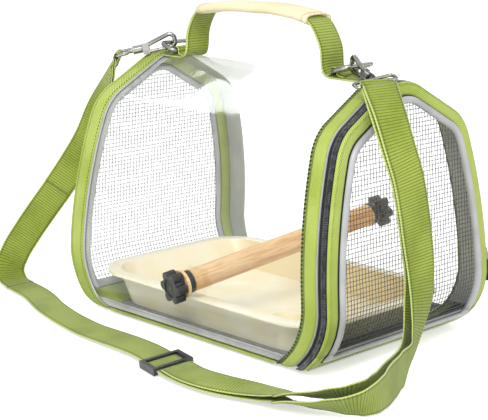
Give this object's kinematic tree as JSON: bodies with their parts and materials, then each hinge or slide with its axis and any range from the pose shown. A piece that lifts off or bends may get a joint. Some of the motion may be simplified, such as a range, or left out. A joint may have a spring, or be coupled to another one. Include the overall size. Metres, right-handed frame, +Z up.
{
  "type": "bird travel carrier",
  "caption": "Soft carrier for a small bird with a clear arched wrap, mesh ends, a zipped drop-down mesh door, a perch, a tray, a carry handle and a hooked shoulder strap.",
  "frame": {"origin": "middle of the underside of the base, halfway along the clear tunnel, on the surface that the base rests on", "axes": "+X towards the mesh door, +Y towards the back, +Z up"},
  "size_m": [0.5251, 0.3189, 0.296],
  "materials": {
    "green_webbing": "ribbed woven webbing",
    "green_twill": "twill-faced band",
    "grey_piping": "smooth vinyl piping",
    "grey_lining": "plain lining",
    "black_tape": "woven zipper tape",
    "black_coil": "moulded coil",
    "dark_mesh": "coated wire-like mesh",
    "clear_sheet": "clear vinyl sheet",
    "base_fabric": "padded base fabric",
    "board": "stiff board",
    "cream_plastic": "satin moulded plastic",
    "wood": "turned pale wood",
    "black_plastic": "moulded, satin",
    "bright_metal": "polished nickel plate",
    "sleeve": "smooth cream sleeve",
    "buckle_plastic": "moulded green buckle"
  },
  "bodies": {
    "carrier": {"back_base_piping": "green_twill", "back_bush": "black_plastic", "back_hem_binding": "grey_lining", "back_stud": "bright_metal", "base_board": "board", "base_cover": "base_fabric", "clear_wrap": "clear_sheet", "front_base_piping": "green_twill", "front_bush": "black_plastic", "front_hem_binding": "grey_lining", "front_stud": "bright_metal", "front_washer": "wood", "left_end_band": "green_twill", "left_gusset_band": "green_twill", "left_handle_anchor": "green_webbing", "left_inner_lining": "grey_lining", "left_mesh_net": "dark_mesh", "left_rim_piping": "grey_piping", "left_ring": "bright_metal", "left_seam_piping": "grey_piping", "left_snap_hook": "bright_metal", "perch_dowel": "wood", "right_gusset_band": "green_twill", "right_handle_anchor": "green_webbing", "right_inner_lining": "grey_lining", "right_ring": "bright_metal", "right_seam_cord": "black_tape", "right_snap_hook": "bright_metal", "shoulder_strap_front": "green_webbing", "shoulder_strap_left": "green_webbing", "shoulder_strap_left_lap": "green_webbing", "shoulder_strap_return": "green_webbing", "shoulder_strap_right": "green_webbing", "sill_band": "green_twill", "sill_panel": "black_tape", "sill_piping": "grey_piping", "zipper_coil": "black_coil", "zipper_tape": "black_tape"},
    "door": {"door_band": "green_twill", "door_piping": "grey_piping", "door_mesh_net": "dark_mesh"},
    "zip_slider": {"zipper_slider": "bright_metal"},
    "zip_pull": {"zipper_pull": "bright_metal"},
    "handle": {"handle_webbing": "green_webbing", "handle_grip": "sleeve"},
    "front_perch_knob": {"front_knob": "black_plastic"},
    "back_perch_knob": {"back_knob": "black_plastic"},
    "feeding_tray": {"tray": "cream_plastic"},
    "left_gate": {"left_hook_gate": "bright_metal"},
    "right_gate": {"right_hook_gate": "bright_metal"},
    "left_loop": {"left_wire_loop": "bright_metal"},
    "right_loop": {"right_wire_loop": "bright_metal"},
    "buckle": {"slide_buckle": "buckle_plastic"}
  },
  "joints": [
    {"name": "door_hinge", "type": "hinge", "parent": "carrier", "child": "door", "pos_m": [0.16731, 0, 0.022], "axis": [0, 1, 0], "range_deg": [0, 90], "deforming": ["shoulder_strap_right", "shoulder_strap_return", "shoulder_strap_front"]},
    {"name": "zip_slide", "type": "slide", "parent": "carrier", "child": "zip_slider", "axis": [-0.0837, -0.036, 0.9958], "range_m": [0, 0.045]},
    {"name": "zip_pull_pivot", "type": "hinge", "parent": "zip_slider", "child": "zip_pull", "pos_m": [0.16823, 0.11252, 0.07226], "axis": [-0.9965, 0.003, -0.0836], "range_deg": [-75, 0]},
    {"name": "handle_pivot", "type": "hinge", "parent": "carrier", "child": "handle", "pos_m": [0, 0, 0.255], "axis": [1, 0, 0], "range_deg": [-75, 75]},
    {"name": "front_knob_spin", "type": "hinge", "parent": "carrier", "child": "front_perch_knob", "pos_m": [0.002, -0.1055, 0.054], "axis": [0.1625, 0.974, 0.1578], "continuous": true},
    {"name": "back_knob_spin", "type": "hinge", "parent": "carrier", "child": "back_perch_knob", "pos_m": [0.037, 0.10434, 0.088], "axis": [0.1625, 0.974, 0.1578], "continuous": true},
    {"name": "tray_lift", "type": "slide", "parent": "carrier", "child": "feeding_tray", "axis": [0, 0, 1], "range_m": [0, 0.004]},
    {"name": "left_gate_spring", "type": "hinge", "parent": "carrier", "child": "left_gate", "pos_m": [-0.14393, -0.02172, 0.24005], "axis": [0.6808, -0.7324, 0], "range_deg": [0, 18], "stiffness_Nm_per_rad": 0.02, "springref_deg": -5.73},
    {"name": "right_gate_spring", "type": "hinge", "parent": "carrier", "child": "right_gate", "pos_m": [0.13094, -0.01777, 0.24157], "axis": [0.4432, 0.8964, 0], "range_deg": [0, 18], "stiffness_Nm_per_rad": 0.02, "springref_deg": -5.73},
    {"name": "left_loop_swivel", "type": "hinge", "parent": "carrier", "child": "left_loop", "pos_m": [-0.15411, -0.03119, 0.24148], "axis": [0.7126, 0.6625, 0.2309], "range_deg": [-10, 10], "deforming": ["shoulder_strap_left", "shoulder_strap_left_lap"]},
    {"name": "right_loop_swivel", "type": "hinge", "parent": "carrier", "child": "right_loop", "pos_m": [0.14326, -0.02386, 0.24415], "axis": [-0.8864, 0.4382, 0.1494], "range_deg": [-10, 10], "deforming": ["shoulder_strap_right", "shoulder_strap_return"]},
    {"name": "buckle_slide", "type": "slide", "parent": "carrier", "child": "buckle", "axis": [0.9743, -0.2253, 0], "range_m": [-0.018, 0.004]}
  ]
}
